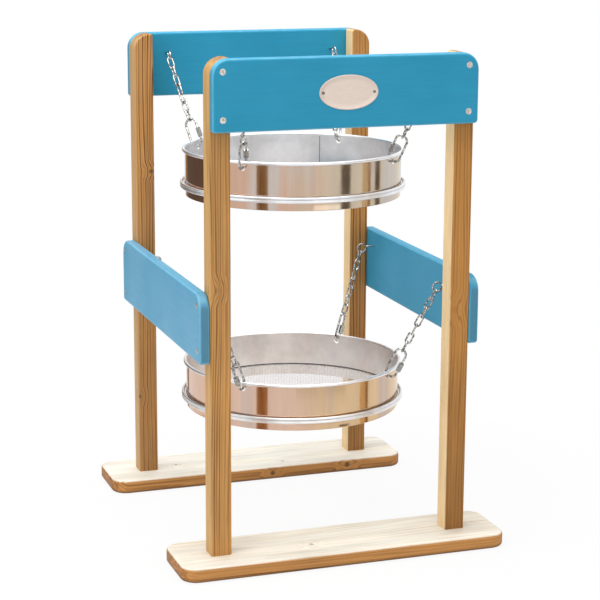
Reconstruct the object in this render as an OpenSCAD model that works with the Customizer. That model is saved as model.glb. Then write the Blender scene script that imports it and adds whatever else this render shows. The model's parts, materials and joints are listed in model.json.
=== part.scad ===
// Sand sieve: two round wire sieves hang on chains, one over the other, in a wooden stand.
// X runs along the front, Y to the back and Z up. The origin is on the ground under the middle.

/* [Stand] */
// Height of the stand over the ground
stand_h = 838; // [780:1:940]
// Width of the stand over its posts
stand_w = 450; // [430:1:500]
// Depth of the stand over its posts
stand_d = 510; // [490:1:560]
// Side of a square post
post_w = 35; // [32:1:45]
// Radius of the eased edges of posts, boards and feet
ease_r = 3; // [1:0.5:5]

/* [Boards] */
// Thickness of the painted boards
board_t = 18; // [16:1:24]
// Height of the painted boards
board_h = 115; // [95:1:140]
// Radius of the boards' upper corners and of the posts' outer top corners
corner_r = 28; // [15:1:30]
// Height of the side boards' lower edges over the ground
side_board_z = 349; // [330:1:380]

/* [Feet] */
// Length of a foot board
foot_l = 570; // [520:1:680]
// Depth of a foot board, front to back
foot_d = 136; // [100:1:180]
// Thickness of a foot board
foot_t = 24; // [18:1:34]
// Radius of a foot board's corners, seen from above
foot_corner_r = 28; // [10:1:45]

/* [Screws] */
// Diameter of the countersunk screws
screw_d = 4.5; // [3.5:0.1:6]
// Diameter of their heads
screw_head_d = 9; // [7:0.5:11]
// Length of the screws through the boards
screw_l = 45; // [30:1:50]
// Length of the screws up through the feet
foot_screw_l = 64; // [45:1:90]
// Distance of the board screws from the boards' upper and lower edges
screw_inset = 20; // [14:1:30]
// Distance between the two screws under a post
foot_screw_pair = 16; // [12:1:18]
// Room around a screw, a hook or a pin in its hole
screw_gap = 0.1; // [0.05:0.01:0.2]

/* [Oval plate] */
// Width of the oval plate on the front board
plate_w = 100; // [70:1:140]
// Height of the oval plate
plate_h = 56; // [40:1:80]
// Thickness of the oval plate
plate_t = 1; // [0.6:0.1:2]
// Distance of the two pins from the plate's ends
pin_inset = 7; // [5:0.5:12]
// Diameter of a pin
pin_d = 2; // [1.5:0.1:3]
// Diameter of a pin's head
pin_head_d = 5; // [3.5:0.1:7]
// Height of a pin's head
pin_head_h = 1.2; // [0.6:0.1:2]
// Length of a pin behind the plate
pin_l = 12; // [8:1:15]

/* [Hooks] */
// Wire of the screw hooks
hook_wire = 3; // [2.5:0.1:4]
// Radius of a hook's ring, to the middle of its wire
hook_ring_r = 8; // [7:0.1:11]
// Distance of a ring's centre from its board
hook_reach = 26.4; // [24:0.2:36]
// Radius of the bend between a hook's stem and its ring
hook_bend_r = 3; // [2.5:0.1:4]
// Turn of the ring, from the bend to its open end
hook_turn = 315; // [290:1:315]
// Depth of a hook's stem in its board
hook_depth = 14; // [8:1:15]
// Height of the upper sieve's hooks over the ground
upper_hook_z = 798; // [790:1:806]
// Distance of the upper sieve's hooks from the middle, along X
upper_hook_x = 158; // [145:1:165]
// Height of the lower sieve's hooks over the ground
lower_hook_z = 433; // [420:1:438]
// Distance of the lower sieve's hooks from the middle, along Y
lower_hook_y = 180; // [165:1:190]

/* [Chains] */
// Number of links in a chain
link_count = 7; // [5:2:9]
// Wire of a link
link_wire = 3; // [2.5:0.1:3.4]
// Length of a link, inside
link_l = 18; // [16:0.5:22]
// Width of a link, inside
link_w = 6; // [5.6:0.1:8]
// Wire of a quick link
clasp_wire = 4; // [3.5:0.1:4.4]
// Length of a quick link, inside
clasp_l = 50; // [46:0.5:60]
// Width of a quick link, inside
clasp_w = 16; // [15:0.5:20]
// Opening in the side of a quick link
clasp_mouth = 6; // [5:0.5:8]
// Width of a sleeve nut over its flats
sleeve_af = 8; // [7:0.1:10]
// Length of a sleeve nut
sleeve_l = 16; // [14:0.5:18]
// Room between the wires of two links that hang in each other
link_gap = 0.3; // [0.2:0.05:0.4]
// Room around the wire in a sleeve nut
sleeve_gap = 0.1; // [0.05:0.01:0.1]

/* [Sieves] */
// Radius of a sieve's wall, outside
sieve_r = 187.5; // [180:0.5:195]
// Height of a sieve's rim over its mesh
band_h = 62; // [50:1:75]
// Thickness of the sheet
sheet_t = 1; // [0.8:0.1:1.4]
// Diameter of the rolled rim
rim_d = 5.6; // [4.5:0.1:7]
// Diameter of the two beads that clamp the mesh
bead_d = 4.6; // [3.6:0.1:6]
// Distance of the beads' centres from the wall's outside
bead_out = 5.9; // [4.5:0.1:8]
// Length of the skirt under the mesh
skirt_h = 18.7; // [14:0.1:26]
// Diameter of the four holes for the quick links
hole_d = 12; // [11:0.1:14]
// Distance of the holes' centres from the top of the rim
hole_inset = 13.6; // [13:0.1:18]
// Room between a quick link and the top of its hole
hole_gap = 2; // [1.9:0.05:2.4]
// Thickness of the wire mesh
mesh_t = 1.2; // [0.8:0.1:1.6]
// Distance between the mesh's wires
mesh_pitch = 22; // [20:0.5:30]
// Width of a wire in the mesh
mesh_wire = 2.4; // [1.6:0.1:4]

/* [Hidden] */
$fn = 48;
round_fn = 180;
over = 1;

TIERS = ["upper", "lower"];
SIDES = ["left", "right"];
ENDS = ["front", "back"];

// Posts and boards
post_x = (stand_w - post_w) / 2;
post_y = (stand_d - post_w) / 2;
top_board_z = stand_h - board_h;
screw_head_h = (screw_head_d - screw_d) / 2;
screw_tip_h = 2 * screw_d;
pin_x = plate_w / 2 - pin_inset;

// Lengths along a chain, from the ring's wire to the wire in the sieve's hole
link_step = link_l - link_gap;
first_step = link_l + link_wire - (hook_wire + link_wire) / 2 - link_gap;
clasp_step = clasp_l + clasp_wire - (link_wire + clasp_wire) / 2 - link_gap;
chain_l = first_step + (link_count - 1) * link_step + clasp_step;

// Parts of a quick link
clasp_r = (clasp_w + clasp_wire) / 2;
clasp_side_l = clasp_l - clasp_w;

// Parts of a sieve, from the mesh's middle
wall_r = sieve_r - sheet_t;
bead_r = sieve_r + bead_out;
skirt_r = wall_r;
flange_z = mesh_t / 2;
hole_z = band_h - hole_inset;
hole_xy = (sieve_r - sheet_t / 2) * cos(45);

// Where a chain runs in the right back corner: from its hook's ring to its hole
function ring_centre(tier) = tier == "upper"
    ? [upper_hook_x, stand_d / 2 - hook_reach, upper_hook_z]
    : [stand_w / 2 - hook_reach, lower_hook_y, lower_hook_z];
function lean(tier) = (tier == "upper" ? ring_centre(tier).y : ring_centre(tier).x) - hole_xy;
function spread(tier) = (tier == "upper" ? ring_centre(tier).x : ring_centre(tier).y) - hole_xy;
function reach(tier) = hook_ring_r + sqrt(pow(chain_l, 2) - pow(spread(tier), 2));
function drop(tier) = sqrt(pow(reach(tier), 2) - pow(lean(tier), 2));
function ring_pull(tier) = tier == "upper"
    ? [0, -lean(tier), -drop(tier)] / reach(tier)
    : [-lean(tier), 0, -drop(tier)] / reach(tier);
function chain_top(tier) = ring_centre(tier) + hook_ring_r * ring_pull(tier);
function chain_end(tier) = [hole_xy, hole_xy, ring_centre(tier).z - drop(tier)];
function chain_way(tier) = (chain_end(tier) - chain_top(tier)) / chain_l;
function mesh_z(tier) = chain_end(tier).z - (hole_d - clasp_wire) / 2 + hole_gap - hole_z;

// Turn of a link about its chain, so that its width points as near as it can to a direction
function polar(tier) = acos(chain_way(tier).z);
function heading(tier) = atan2(chain_way(tier).y, chain_way(tier).x);
function turn_to(tier, way) = atan2(
    way * [-sin(heading(tier)), cos(heading(tier)), 0],
    way * [cos(polar(tier)) * cos(heading(tier)), cos(polar(tier)) * sin(heading(tier)), -sin(polar(tier))]);
function first_turn(tier) = turn_to(tier, tier == "upper" ? [1, 0, 0] : [0, 1, 0]);
function clasp_turn(tier) = turn_to(tier, [cos(45), sin(45), 0]);
function half_turns(angle) = angle - 180 * floor((angle + 90) / 180);
function twist(tier) = half_turns(clasp_turn(tier) - first_turn(tier) - 90 * link_count) / link_count;

CORNERS = [for (end = ENDS, side = SIDES) str(end, "_", side)];

// Puts what is drawn in the right back corner into another corner
module in_corner(end, side) {
    mirror([side == "left" ? 1 : 0, 0, 0])
        mirror([0, end == "front" ? 1 : 0, 0])
            children();
}

// A flat rectangle round its middle with eased corners
module eased_rect(w, h, r) {
    square([w - 2 * r, h], center = true);
    square([w, h - 2 * r], center = true);
    for (x = [-1, 1], y = [-1, 1])
        translate([x * (w / 2 - r), y * (h / 2 - r)]) circle(r);
}

// A board's face round its middle: large upper corners, eased lower ones
module board_face(l, h) {
    translate([0, -corner_r / 2]) square([l - 2 * ease_r, h - corner_r], center = true);
    translate([0, (ease_r - corner_r) / 2]) square([l, h - corner_r - ease_r], center = true);
    square([l - 2 * corner_r, h], center = true);
    for (x = [-1, 1]) {
        translate([x * (l / 2 - corner_r), h / 2 - corner_r]) circle(corner_r);
        translate([x * (l / 2 - ease_r), ease_r - h / 2]) circle(ease_r);
    }
}

// A board along X, round its middle, with all its edges eased
module eased_board(l, h) {
    intersection() {
        rotate([90, 0, 0]) linear_extrude(board_t, center = true) board_face(l, h);
        rotate([90, 0, 90]) linear_extrude(l, center = true) eased_rect(board_t, h, ease_r);
        linear_extrude(h, center = true) eased_rect(l, board_t, ease_r);
    }
}

// A countersunk screw along -Z, with its head's face at the origin, or with a gap the room for it
module screw(l, gap = 0) {
    if (gap > 0) cylinder(h = over, d = screw_head_d + 2 * gap);
    translate([0, 0, -screw_head_h]) cylinder(h = screw_head_h, d1 = screw_d + 2 * gap, d2 = screw_head_d + 2 * gap);
    translate([0, 0, screw_tip_h - l]) cylinder(h = l - screw_tip_h, d = screw_d + 2 * gap);
    translate([0, 0, -l - gap]) cylinder(h = screw_tip_h + gap, d1 = 2 * gap, d2 = screw_d + 2 * gap);
}

// Places of the screws in the right back corner
module at_top_screws() {
    for (z = [top_board_z + screw_inset, stand_h - screw_inset])
        translate([post_x, stand_d / 2 + board_t, z]) rotate([-90, 0, 0]) children();
}
module at_side_screws() {
    for (z = [screw_inset, board_h - screw_inset])
        translate([stand_w / 2 + board_t, post_y, side_board_z + z]) rotate([0, 90, 0]) children();
}
module at_foot_screws() {
    for (x = [-1, 1])
        translate([post_x + x * foot_screw_pair / 2, post_y, 0]) rotate([180, 0, 0]) children();
}

// Places of the hooks in the right back corner: the board's inner face at X = 0, the ring's middle at Z = 0
module at_hook(tier) {
    if (tier == "upper")
        translate([upper_hook_x, stand_d / 2, upper_hook_z]) rotate([0, 0, -90]) children();
    else
        translate([stand_w / 2, lower_hook_y, lower_hook_z]) rotate([0, 0, 180]) children();
}
module hook_hole() {
    translate([-hook_depth - screw_gap, 0, hook_bend_r])
        rotate([0, 90, 0]) cylinder(h = hook_depth + screw_gap + over, d = hook_wire + 2 * screw_gap);
}

// Stand
module post(end, side) {
    post_l = stand_h - foot_t;
    color("peru") in_corner(end, side) difference() {
        intersection() {
            translate([post_x, post_y, foot_t]) linear_extrude(post_l) eased_rect(post_w, post_w, ease_r);
            translate([post_x, post_y, 0]) rotate([90, 0, 0]) linear_extrude(post_w, center = true) union() {
                translate([-post_w / 2, 0]) square([post_w, stand_h - corner_r]);
                translate([-post_w / 2, 0]) square([post_w - corner_r, stand_h]);
                translate([post_w / 2 - corner_r, stand_h - corner_r]) circle(corner_r);
            }
        }
        at_top_screws() screw(screw_l, screw_gap);
        at_side_screws() screw(screw_l, screw_gap);
        at_foot_screws() screw(foot_screw_l, screw_gap);
    }
}

module foot(end) {
    color("wheat") difference() {
        in_corner(end, "right") translate([0, post_y, foot_t / 2]) intersection() {
            linear_extrude(foot_t, center = true) eased_rect(foot_l, foot_d, foot_corner_r);
            rotate([90, 0, 90]) linear_extrude(foot_l, center = true) eased_rect(foot_d, foot_t, ease_r);
        }
        for (side = SIDES) in_corner(end, side) at_foot_screws() screw(foot_screw_l, screw_gap);
    }
}

module top_board(end) {
    color("steelblue") difference() {
        in_corner(end, "right")
            translate([0, (stand_d + board_t) / 2, top_board_z + board_h / 2]) eased_board(stand_w, board_h);
        for (side = SIDES) in_corner(end, side) {
            at_top_screws() screw(screw_l, screw_gap);
            at_hook("upper") hook_hole();
        }
        if (end == "front") at_plate_pins() plate_pin(screw_gap);
    }
}

module side_board(side) {
    color("steelblue") difference() {
        in_corner("back", side) translate([(stand_w + board_t) / 2, 0, side_board_z + board_h / 2])
            rotate([0, 0, 90]) eased_board(stand_d, board_h);
        for (end = ENDS) in_corner(end, side) {
            at_side_screws() screw(screw_l, screw_gap);
            at_hook("lower") hook_hole();
        }
    }
}

module top_board_screws() {
    color("lightgray") for (end = ENDS, side = SIDES) in_corner(end, side) at_top_screws() screw(screw_l);
}
module side_board_screws() {
    color("lightgray") for (end = ENDS, side = SIDES) in_corner(end, side) at_side_screws() screw(screw_l);
}
module foot_screws() {
    color("lightgray") for (end = ENDS, side = SIDES) in_corner(end, side) at_foot_screws() screw(foot_screw_l);
}

// Bare oval plate and the two pins that hold it, on the front board
module at_plate() {
    translate([0, -stand_d / 2 - board_t, top_board_z + board_h / 2]) rotate([90, 0, 0]) children();
}
module at_plate_pins() {
    at_plate() for (x = [-1, 1]) translate([x * pin_x, 0, plate_t]) children();
}
module plate_pin(gap = 0) {
    translate([0, 0, -pin_l - gap]) cylinder(h = pin_l + gap + (gap > 0 ? over : 0), d = pin_d + 2 * gap);
}
module oval_plate() {
    ellipse_points = [for (i = [0 : round_fn - 1]) let (a = i * 360 / round_fn) [plate_w * cos(a), plate_h * sin(a)] / 2];
    color("thistle") difference() {
        at_plate() linear_extrude(plate_t) polygon(ellipse_points);
        at_plate_pins() plate_pin(screw_gap);
    }
}
module plate_pins() {
    color("rosybrown") at_plate_pins() {
        plate_pin();
        cylinder(h = pin_head_h, d1 = pin_head_d, d2 = pin_d);
    }
}

// A screw hook: a stem out of the board at X = 0, a bend down and an open ring
module hook() {
    bend_x = hook_reach - hook_ring_r - hook_bend_r;
    translate([-hook_depth, 0, hook_bend_r]) rotate([0, 90, 0]) cylinder(h = hook_depth + bend_x, d = hook_wire);
    translate([bend_x, 0, 0]) rotate([90, 0, 0]) wire_arc(hook_bend_r, 90, hook_wire);
    translate([hook_reach, 0, 0]) rotate([90, 0, 0]) rotate([0, 0, 180]) wire_arc(hook_ring_r, hook_turn, hook_wire);
}
module wire_arc(r, turn, wire) {
    rotate_extrude(angle = turn) translate([r, 0]) circle(d = wire);
}
module hooks(tier) {
    color("silver") for (end = ENDS, side = SIDES) in_corner(end, side) at_hook(tier) hook();
}

// A closed or open wire loop round its middle, long along Z and wide along X
module loop(l, w, wire, mouth, mouth_side, mouth_z) {
    bow_r = (w + wire) / 2;
    side_l = l - w;
    for (turn = [90, -90])
        translate([0, 0, sign(turn) * side_l / 2]) rotate([turn, 0, 0]) wire_arc(bow_r, 180, wire);
    for (side = [-1, 1]) {
        if (mouth > 0 && side == mouth_side) {
            translate([side * bow_r, 0, -side_l / 2]) cylinder(h = mouth_z - mouth / 2 + side_l / 2, d = wire);
            translate([side * bow_r, 0, mouth_z + mouth / 2])
                cylinder(h = side_l / 2 - mouth_z - mouth / 2, d = wire);
        } else {
            translate([side * bow_r, 0, -side_l / 2]) cylinder(h = side_l, d = wire);
        }
    }
}

// Puts a link of the right back chain at a distance from its ring, with +Z down the chain
module on_chain(tier, distance, turn) {
    translate(chain_top(tier) + distance * chain_way(tier))
        rotate([0, polar(tier), heading(tier)]) rotate([0, 0, turn]) children();
}
module chain_link(tier, number) {
    on_chain(tier, first_step + (number - 1) * link_step - (link_l + link_wire) / 2,
        first_turn(tier) + (number - 1) * (90 + twist(tier)))
        loop(link_l, link_w, link_wire, 0, 0, 0);
}
module on_clasp(tier) {
    on_chain(tier, chain_l - (clasp_l + clasp_wire) / 2, clasp_turn(tier)) children();
}
// The sleeve nut is inside the rim on the upper sieve and outside it on the lower one
function sleeve_side(tier) = tier == "upper" ? -1 : 1;
// The closed sleeve nut covers the mouth with as much thread at both its ends
sleeve_z = (clasp_side_l - sleeve_l) / 2 - clasp_mouth;

module top_link(tier, end, side) {
    color("silver") in_corner(end, side) chain_link(tier, 1);
}
module chain(tier, end, side) {
    color("silver") in_corner(end, side) for (number = [2 : link_count]) chain_link(tier, number);
}
module quick_link(tier, end, side) {
    color("gainsboro") in_corner(end, side) on_clasp(tier)
        loop(clasp_l, clasp_w, clasp_wire, clasp_mouth, sleeve_side(tier), sleeve_z);
}
module sleeve_nut(tier, end, side) {
    color("darkgray") in_corner(end, side) on_clasp(tier)
        translate([sleeve_side(tier) * clasp_r, 0, sleeve_z]) difference() {
            cylinder(h = sleeve_l, d = sleeve_af / cos(30), center = true, $fn = 6);
            cylinder(h = sleeve_l + 2 * over, d = clasp_wire + 2 * sleeve_gap, center = true);
        }
}

// Sieves
module at_holes() {
    for (quarter = [0 : 3]) rotate([0, 0, 45 + 90 * quarter]) translate([0, 0, hole_z]) rotate([0, 90, 0]) children();
}
module sieve_band(tier) {
    color("lightgray") translate([0, 0, mesh_z(tier)]) difference() {
        rotate_extrude($fn = round_fn) {
            translate([wall_r, flange_z]) square([sheet_t, band_h - flange_z - rim_d / 2]);
            translate([wall_r, flange_z]) square([bead_r - wall_r, sheet_t]);
            translate([wall_r + rim_d / 2, band_h - rim_d / 2]) circle(d = rim_d);
            translate([bead_r, flange_z + bead_d / 2]) circle(d = bead_d);
        }
        at_holes() translate([0, 0, wall_r - rim_d]) cylinder(h = 2 * rim_d, d = hole_d);
    }
}
module sieve_skirt(tier) {
    color("lightgray") translate([0, 0, mesh_z(tier)]) rotate_extrude($fn = round_fn) {
        translate([skirt_r - sheet_t, -skirt_h]) square([sheet_t, skirt_h - flange_z]);
        translate([skirt_r - sheet_t, -flange_z - sheet_t]) square([bead_r - skirt_r + sheet_t, sheet_t]);
        translate([bead_r, -flange_z - bead_d / 2]) circle(d = bead_d);
    }
}
// A flat net of crossing wires with a closed edge under the bead
module sieve_mesh(tier) {
    mesh_r = bead_r;
    open_r = skirt_r - sheet_t;
    cells = ceil(open_r / mesh_pitch);
    cell_w = mesh_pitch - mesh_wire;
    color("darkgray") translate([0, 0, mesh_z(tier) - mesh_t / 2]) linear_extrude(mesh_t) difference() {
        circle(mesh_r, $fn = round_fn);
        intersection() {
            circle(open_r, $fn = round_fn);
            rotate(45) for (i = [-cells : cells], j = [-cells : cells])
                if (norm([max(0, abs(i) - 1), max(0, abs(j) - 1)]) * mesh_pitch < open_r)
                    translate([i, j] * mesh_pitch) square(cell_w, center = true);
        }
    }
}

for (end = ENDS, side = SIDES)
    post(end, side);
for (end = ENDS)
    foot(end);
for (end = ENDS)
    top_board(end);
for (side = SIDES)
    side_board(side);
oval_plate();
plate_pins();
top_board_screws();
side_board_screws();
foot_screws();
for (tier = TIERS) {
    hooks(tier);
    sieve_band(tier);
    sieve_mesh(tier);
    sieve_skirt(tier);
    for (end = ENDS, side = SIDES) {
        corner = str(tier, "_", end, "_", side);
        top_link(tier, end, side);
        chain(tier, end, side);
        quick_link(tier, end, side);
        sleeve_nut(tier, end, side);
    }
}
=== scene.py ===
"""Sand sieve: two round wire sieves hang on chains, one over the other, in a wooden stand."""
import json
import math

import bmesh
import bpy
from mathutils import Matrix, Vector


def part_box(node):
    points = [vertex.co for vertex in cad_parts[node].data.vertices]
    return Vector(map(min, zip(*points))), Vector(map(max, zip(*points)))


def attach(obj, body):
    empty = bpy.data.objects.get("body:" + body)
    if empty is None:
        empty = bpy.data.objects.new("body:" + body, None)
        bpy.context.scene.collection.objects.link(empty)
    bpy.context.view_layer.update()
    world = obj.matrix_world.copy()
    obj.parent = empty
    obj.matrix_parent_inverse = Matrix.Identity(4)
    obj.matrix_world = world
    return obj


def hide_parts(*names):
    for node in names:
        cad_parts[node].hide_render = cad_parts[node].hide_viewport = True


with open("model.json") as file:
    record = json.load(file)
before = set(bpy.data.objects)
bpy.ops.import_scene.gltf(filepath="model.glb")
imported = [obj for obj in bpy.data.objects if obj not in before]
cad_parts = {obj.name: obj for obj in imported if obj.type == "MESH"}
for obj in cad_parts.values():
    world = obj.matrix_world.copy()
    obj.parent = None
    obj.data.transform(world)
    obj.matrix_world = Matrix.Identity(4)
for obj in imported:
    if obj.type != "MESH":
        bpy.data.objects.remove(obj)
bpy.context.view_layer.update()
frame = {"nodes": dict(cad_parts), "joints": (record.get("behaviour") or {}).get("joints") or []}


# Camera: stands to the left in front of the stand and a little above it, with a long lens.
camera_data = bpy.data.cameras.new("camera")
camera_data.sensor_width = 36
camera_data.lens = 111.68
camera = bpy.data.objects.new("camera", camera_data)
camera_aim, camera_distance = Vector((0.0143, 0, 0.3845)), 3.2834
azimuth, elevation, roll = (math.radians(angle) for angle in (-19.06, 12.69, 0.28))
level_back = Vector((math.sin(azimuth), -math.cos(azimuth), 0))
back = level_back * math.cos(elevation) + Vector((0, 0, math.sin(elevation)))
right = Vector((math.cos(azimuth), math.sin(azimuth), 0))
up = back.cross(right)
rolled_right = right * math.cos(roll) + up * math.sin(roll)
rolled_up = up * math.cos(roll) - right * math.sin(roll)
camera.matrix_world = Matrix((rolled_right, rolled_up, back)).transposed().to_4x4()
camera.location = camera_aim + back * camera_distance
bpy.context.scene.collection.objects.link(camera)
bpy.context.scene.camera = camera


# Studio: a plain pale floor in soft, even light. The strongest lamps are above and on the left, so
# the tops and the left faces of the stand are its lightest ones, and painted light in the pine adds to that.
def put(tree, kind, inputs=None, **settings):
    """Adds a node. inputs maps its sockets, by name or number, to values or to other nodes' outputs."""
    node = tree.nodes.new(kind)
    for key, value in settings.items():
        setattr(node, key, value)
    for key, value in (inputs or {}).items():
        if isinstance(value, bpy.types.NodeSocket):
            tree.links.new(value, node.inputs[key])
        else:
            node.inputs[key].default_value = value
    return node


def output(tree, kind, inputs=None, **settings):
    """Adds a node and returns its first output."""
    return put(tree, kind, inputs, **settings).outputs[0]


def calc(tree, operation, *values):
    return output(tree, "ShaderNodeMath", dict(enumerate(values)), operation=operation)


def vector(tree, operation, *values):
    node = put(tree, "ShaderNodeVectorMath", dict(enumerate(values)), operation=operation)
    return node.outputs["Value" if operation in ("LENGTH", "DOT_PRODUCT") else "Vector"]


def spread(tree, value, low, high, to_low=0.0, to_high=1.0, kind="SMOOTHSTEP"):
    """Maps a value's range from low to high onto another one."""
    inputs = {0: value, 1: low, 2: high, 3: to_low, 4: to_high}
    return output(tree, "ShaderNodeMapRange", inputs, interpolation_type=kind)


def seen(tree):
    """1 for rays that show a thing in the picture, directly or mirrored, and 0 for all others."""
    ray = put(tree, "ShaderNodeLightPath").outputs
    shown = calc(tree, "MAXIMUM", ray["Is Camera Ray"], ray["Is Glossy Ray"])
    return calc(tree, "MAXIMUM", shown, ray["Is Transmission Ray"])


def surface(name, **sockets):
    """A material with one shader, whose constant inputs are given by name."""
    material = bpy.data.materials.new(name)
    material.use_nodes = True
    shader = material.node_tree.nodes["Principled BSDF"]
    for key, value in sockets.items():
        shader.inputs[key.replace("_", " ")].default_value = value
    return material, material.node_tree, shader


def linked(name, mesh):
    piece = bpy.data.objects.new(name, mesh)
    bpy.context.scene.collection.objects.link(piece)
    return piece


bpy.context.scene.view_settings.view_transform = "Standard"
white, fill_level = (1, 1, 1, 1), 0.35
studio = bpy.data.worlds.new("studio")
studio.use_nodes = True
bpy.context.scene.world = studio
sky = studio.node_tree
sky.nodes.clear()
fill = output(sky, "ShaderNodeBackground", {"Color": white, "Strength": fill_level})
backdrop = output(sky, "ShaderNodeBackground", {"Color": white, "Strength": 1.0})
both = output(sky, "ShaderNodeMixShader", {0: seen(sky), 1: fill, 2: backdrop})
put(sky, "ShaderNodeOutputWorld", {0: both})

floor_half, floor_z = 30.0, -0.0005
fade_near, fade_far, near_white = 0.35, 1.3, 0.88
floor_mesh = bpy.data.meshes.new("floor")
floor_signs = ((-1, -1), (1, -1), (1, 1), (-1, 1))
floor_corners = [(x * floor_half, y * floor_half, floor_z) for x, y in floor_signs]
floor_mesh.from_pydata(floor_corners, [], [(0, 1, 2, 3)])
floor_paper, floor_tree, floor_shader = surface("floor_paper", Base_Color=(0.8, 0.8, 0.8, 1), Roughness=0.9)
floor_away = vector(floor_tree, "LENGTH", put(floor_tree, "ShaderNodeTexCoord").outputs["Object"])
floor_fade = spread(floor_tree, floor_away, fade_near, fade_far, near_white, 1.0)
floor_share = calc(floor_tree, "MULTIPLY", seen(floor_tree), floor_fade)
floor_white = output(floor_tree, "ShaderNodeEmission", {"Color": white, "Strength": 1.0})
floor_mix = output(floor_tree, "ShaderNodeMixShader", {
    0: floor_share, 1: floor_shader.outputs[0], 2: floor_white})
floor_tree.links.new(floor_mix, floor_tree.nodes["Material Output"].inputs["Surface"])
floor_mesh.materials.append(floor_paper)
linked("floor", floor_mesh)

lamp_aim = Vector((0, 0, 0.4))
for lamp_name, lamp_place, lamp_size, lamp_watts, lamp_mirrored in (
    ("left_lamp", (-2.8, -0.5, 1.3), 3.0, 38, False),
    ("top_lamp", (-0.3, -0.2, 3.2), 3.0, 105, True),
    ("front_lamp", (1.2, -3.2, 1.6), 2.4, 10, True),
    ("back_lamp", (1.8, 2.6, 2.2), 2.4, 14, False),
):
    lamp_data = bpy.data.lights.new(lamp_name, "AREA")
    lamp_data.size = lamp_size
    lamp_data.energy = lamp_watts
    lamp = bpy.data.objects.new(lamp_name, lamp_data)
    lamp.location = lamp_place
    lamp.visible_glossy = lamp_mirrored
    lamp.rotation_euler = (lamp_aim - lamp.location).to_track_quat("-Z", "Y").to_euler()
    bpy.context.scene.collection.objects.link(lamp)


# Dark cards and a grey mat give the bright metal something to mirror. Only reflections show them.
def mirrored_only(name, points, faces, material):
    mesh = bpy.data.meshes.new(name)
    mesh.from_pydata(points, [], faces)
    mesh.materials.append(material)
    card = linked(name, mesh)
    for way in ("camera", "diffuse", "transmission", "volume_scatter", "shadow"):
        setattr(card, "visible_" + way, False)


def around(radius, angle, z):
    """The point on a circle about the upright axis, at an angle and a height."""
    return Vector((radius * math.cos(angle), radius * math.sin(angle), z))


card_brown, mat_grey = (0.16, 0.13, 0.11, 1), (0.62, 0.6, 0.58, 1)
card_paper = surface("card_paper", Base_Color=card_brown, Roughness=1.0, Specular_IOR_Level=0.0)[0]
for card_name, card_turn, card_away, card_wide, card_high in (
    ("left_card", -141, 1.6, 1.5, 1.6),
    ("right_card", 36, 2.2, 0.42, 1.6),
    ("side_card", 78, 2.2, 0.3, 1.6),
):
    card_angle = math.radians(card_turn)
    middle = Vector((math.sin(card_angle), -math.cos(card_angle), 0)) * card_away
    side = Vector((math.cos(card_angle), math.sin(card_angle), 0)) * card_wide / 2
    rise = Vector((0, 0, card_high))
    card_points = [middle - side, middle + side, middle + side + rise, middle - side + rise]
    mirrored_only(card_name, card_points, [(0, 1, 2, 3)], card_paper)

mat_start, mat_sweep, mat_steps = 255, 52, 8
mat_inner, mat_outer, mat_z = 1.12, 1.4, 0.001
# The mat is a grey glow of its own, not lit by the lamps: a painted reflection for the metal.
glowing_mat = surface("glowing_mat", Base_Color=(0, 0, 0, 1), Emission_Color=mat_grey, Emission_Strength=1.0)[0]
mat_angles = [math.radians(mat_start + mat_sweep * i / mat_steps) for i in range(mat_steps + 1)]
mat_points = [around(r, a, mat_z) for r in (mat_inner, mat_outer) for a in mat_angles]
mat_faces = [(i, i + mat_steps + 1, i + mat_steps + 2, i + 1) for i in range(mat_steps)]
mirrored_only("front_mat", mat_points, mat_faces, glowing_mat)


# Posts: four square lengths of planed pine, honey brown in front, their left faces pale with painted light.
# The growth rings run up the post as dark lines, and the outer top corner is rounded.
def ramp(tree, factor, *stops):
    node = put(tree, "ShaderNodeValToRGB", {0: factor})
    elements = node.color_ramp.elements
    while len(elements) < len(stops):
        elements.new(0.5)
    for element, (position, value) in zip(elements, stops):
        element.position = position
        element.color = (value, value, value, 1)
    return node.outputs[0]


def mixed(tree, factor, first, second, blend="MIX"):
    inputs = {0: factor}
    for number, colour in ((6, first), (7, second)):
        inputs[number] = colour if isinstance(colour, bpy.types.NodeSocket) else (*colour, 1)
    return put(tree, "ShaderNodeMix", inputs, data_type="RGBA", blend_type=blend).outputs[2]


def grey(tree, level):
    return output(tree, "ShaderNodeCombineColor", {0: level, 1: level, 2: level})


def noise(tree, place, scale, detail=2.0, rough=0.5):
    inputs = {"Vector": place, "Scale": scale, "Detail": detail, "Roughness": rough}
    return output(tree, "ShaderNodeTexNoise", inputs)


def bumped(tree, shader, height, strength, depth):
    bump = output(tree, "ShaderNodeBump", {"Height": height, "Strength": strength, "Distance": depth})
    tree.links.new(bump, shader.inputs["Normal"])


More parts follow.
